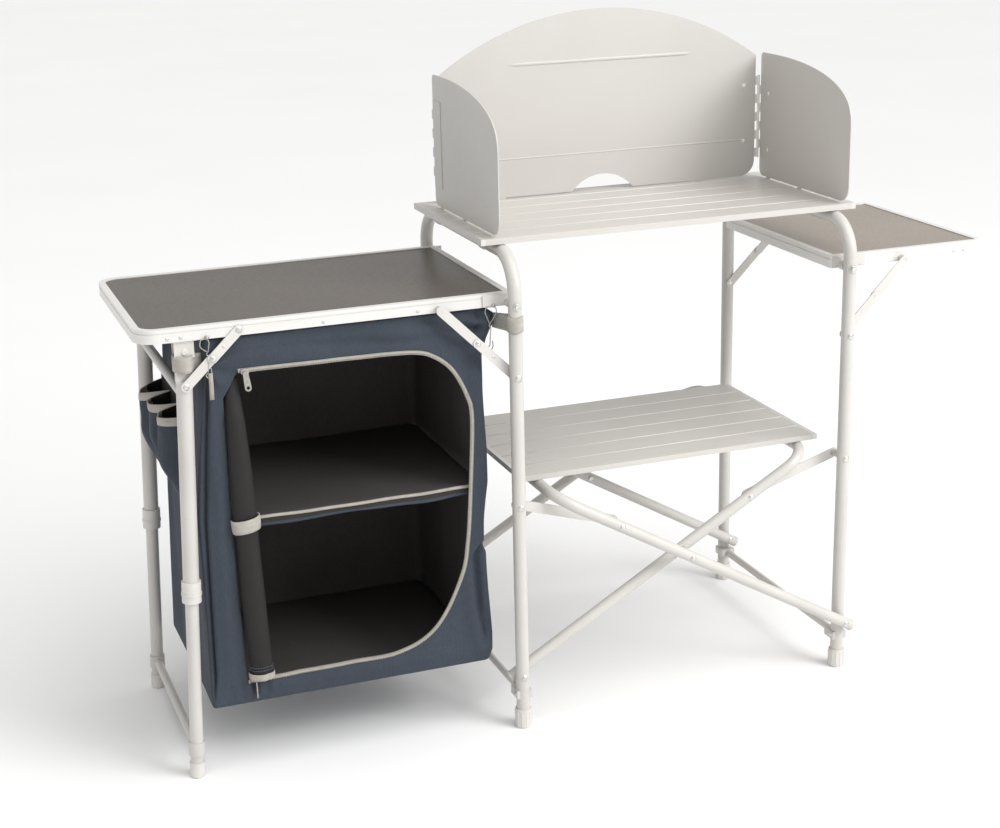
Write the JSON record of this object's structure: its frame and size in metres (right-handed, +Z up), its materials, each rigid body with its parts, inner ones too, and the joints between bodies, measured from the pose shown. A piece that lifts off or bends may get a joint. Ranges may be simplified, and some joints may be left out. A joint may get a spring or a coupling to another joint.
{
  "type": "camp kitchen table",
  "caption": "Folding camp kitchen with a slatted cooking surface and windshield, lower shelf, side tables and a hanging fabric cupboard.",
  "frame": {"origin": "middle of the whole footprint, on the floor under the feet", "axes": "+X along the length towards the small right table, -Y the front with the cupboard's door, +Z up"},
  "size_m": [1.459, 0.5002, 1.1344],
  "materials": {
    "powder_coat": "satin",
    "rim": "satin",
    "grey_plastic": "matte",
    "steel": "satin",
    "slats": "satin",
    "shield": "satin",
    "laminate": "satin",
    "cupboard_cloth": "matte",
    "webbing": "matte"
  },
  "bodies": {
    "stand_left": {"left_frame": "powder_coat", "left_foot_caps": "grey_plastic", "left_floor_bar": "powder_coat", "left_frame_rivets": "steel", "left_table_panel": "laminate", "left_table_frame": "rim", "left_table_rivets": "steel", "left_table_brackets": "powder_coat", "inner_brace_uppers": "powder_coat", "inner_brace_lowers": "powder_coat", "leg_brackets": "powder_coat", "cupboard_shell": "cupboard_cloth", "cupboard_shelf": "cupboard_cloth", "cupboard_base": "cupboard_cloth", "cupboard_door": "cupboard_cloth", "cupboard_pockets": "cupboard_cloth", "cupboard_loops": "webbing", "cupboard_hooks": "steel", "zip_sliders": "steel"},
    "left_legs": {"leg_upper_tubes": "powder_coat", "leg_collars": "grey_plastic", "leg_upper_crossbar": "powder_coat", "leg_rivets": "steel"},
    "left_lower_legs": {"leg_lower_tubes": "powder_coat", "leg_lower_crossbar": "powder_coat", "leg_end_caps": "grey_plastic"},
    "outer_brace_upper": {"outer_brace_uppers": "powder_coat"},
    "outer_brace_lower": {"outer_brace_lowers": "powder_coat"},
    "x_a": {"x_frame_a": "powder_coat", "x_frame_a_caps": "grey_plastic", "strut_spacers_a": "steel", "crossing_rivets": "steel"},
    "x_b": {"x_frame_b": "powder_coat", "x_frame_b_caps": "grey_plastic", "strut_spacers_b": "steel"},
    "stand_right": {"right_frame": "powder_coat", "right_foot_caps": "grey_plastic", "right_floor_bar": "powder_coat", "right_frame_rivets": "steel"},
    "struts_left": {"left_struts": "powder_coat"},
    "struts_right": {"right_struts": "powder_coat"},
    "lower_shelf": {"shelf_slats": "slats", "shelf_end_rails": "grey_plastic", "shelf_clips": "grey_plastic"},
    "cooking_top": {"top_slats": "slats", "top_end_rails": "grey_plastic", "top_clips": "grey_plastic"},
    "windshield": {"windshield_back": "shield", "windshield_leaves": "steel", "hinge_pins": "steel"},
    "left_wing": {"wing_left": "shield", "wing_left_leaf": "steel"},
    "right_wing": {"wing_right": "shield", "wing_right_leaf": "steel"},
    "right_table": {"right_table_panel": "laminate", "right_table_frame": "rim", "right_table_brackets": "powder_coat", "right_table_rivets": "steel"},
    "right_brace_upper": {"right_brace_uppers": "powder_coat"},
    "right_brace_lower": {"right_brace_lowers": "powder_coat"}
  },
  "joints": [
    {"name": "stand_fold", "type": "hinge", "parent": "stand_left", "child": "x_a", "pos_m": [-0.1465, 0, 0.09], "axis": [0, -1, 0], "range_deg": [0, 40]},
    {"name": "scissor_crossing", "type": "hinge", "parent": "x_a", "child": "x_b", "pos_m": [0.1515, 0, 0.26205], "axis": [0, -1, 0], "range_deg": [-80, 0]},
    {"name": "right_leg_pivot", "type": "hinge", "parent": "x_b", "child": "stand_right", "pos_m": [0.4495, 0, 0.09], "axis": [0, -1, 0], "range_deg": [0, 40]},
    {"name": "shelf_carry", "type": "hinge", "parent": "x_b", "child": "lower_shelf", "pos_m": [-0.08934, 0, 0.4011], "axis": [0, -1, 0], "range_deg": [0, 40]},
    {"name": "left_strut_swing", "type": "hinge", "parent": "stand_left", "child": "struts_left", "pos_m": [-0.1465, 0, 0.389], "axis": [0, -1, 0], "range_deg": [0, 85.13]},
    {"name": "right_strut_swing", "type": "hinge", "parent": "stand_right", "child": "struts_right", "pos_m": [0.4495, 0, 0.389], "axis": [0, 1, 0], "range_deg": [0, 85.13]},
    {"name": "right_table_fold", "type": "hinge", "parent": "stand_right", "child": "right_table", "pos_m": [0.4495, 0, 0.722], "axis": [0, -1, 0], "range_deg": [-90, 0]},
    {"name": "right_brace_upper_swing", "type": "hinge", "parent": "right_table", "child": "right_brace_upper", "pos_m": [0.5655, 0, 0.722], "axis": [0, -1, 0], "range_deg": [0, 135.01]},
    {"name": "right_brace_lower_swing", "type": "hinge", "parent": "stand_right", "child": "right_brace_lower", "pos_m": [0.4495, 0, 0.606], "axis": [0, -1, 0], "range_deg": [-135.01, 0]},
    {"name": "left_legs_fold", "type": "hinge", "parent": "stand_left", "child": "left_legs", "pos_m": [-0.6585, 0, 0.698], "axis": [0, 1, 0], "range_deg": [-58, 0], "deforming": ["cupboard_shell", "cupboard_shelf", "cupboard_base", "cupboard_door", "cupboard_pockets", "cupboard_loops", "cupboard_hooks", "zip_sliders"]},
    {"name": "leg_telescope", "type": "slide", "parent": "left_legs", "child": "left_lower_legs", "axis": [-0.0419, 0, -0.9991], "range_m": [-0.2, 0]},
    {"name": "outer_brace_upper_swing", "type": "hinge", "parent": "stand_left", "child": "outer_brace_upper", "pos_m": [-0.5765, 0, 0.726], "axis": [0, 1, 0], "range_deg": [-65.49, 0]},
    {"name": "outer_brace_lower_swing", "type": "hinge", "parent": "left_legs", "child": "outer_brace_lower", "pos_m": [-0.66068, 0, 0.64605], "axis": [0, 1, 0], "range_deg": [0, 99.07]},
    {"name": "cooking_top_lift", "type": "slide", "parent": "stand_left", "child": "cooking_top", "axis": [0, 0, 1], "range_m": [0, 0.06]},
    {"name": "windshield_lift", "type": "slide", "parent": "cooking_top", "child": "windshield", "axis": [0, 0, 1], "range_m": [0, 0.04]},
    {"name": "left_wing_fold", "type": "hinge", "parent": "windshield", "child": "left_wing", "pos_m": [-0.1505, 0.133, 0.927], "axis": [0, 0, 1], "range_deg": [0, 88]},
    {"name": "right_wing_fold", "type": "hinge", "parent": "windshield", "child": "right_wing", "pos_m": [0.4615, 0.133, 0.927], "axis": [0, 0, 1], "range_deg": [-88, 0]}
  ],
  "couplings": [
    {"joint": "scissor_crossing", "follows": "stand_fold", "ratio": -2},
    {"joint": "right_leg_pivot", "follows": "stand_fold", "ratio": 1},
    {"joint": "shelf_carry", "follows": "stand_fold", "ratio": 1},
    {"joint": "left_strut_swing", "follows": "stand_fold", "ratio": 2.128},
    {"joint": "right_strut_swing", "follows": "stand_fold", "ratio": 2.128},
    {"joint": "right_brace_upper_swing", "follows": "right_table_fold", "ratio": -1.5},
    {"joint": "right_brace_lower_swing", "follows": "right_table_fold", "ratio": 1.5},
    {"joint": "outer_brace_upper_swing", "follows": "left_legs_fold", "ratio": 1.129},
    {"joint": "outer_brace_lower_swing", "follows": "left_legs_fold", "ratio": -1.708}
  ]
}
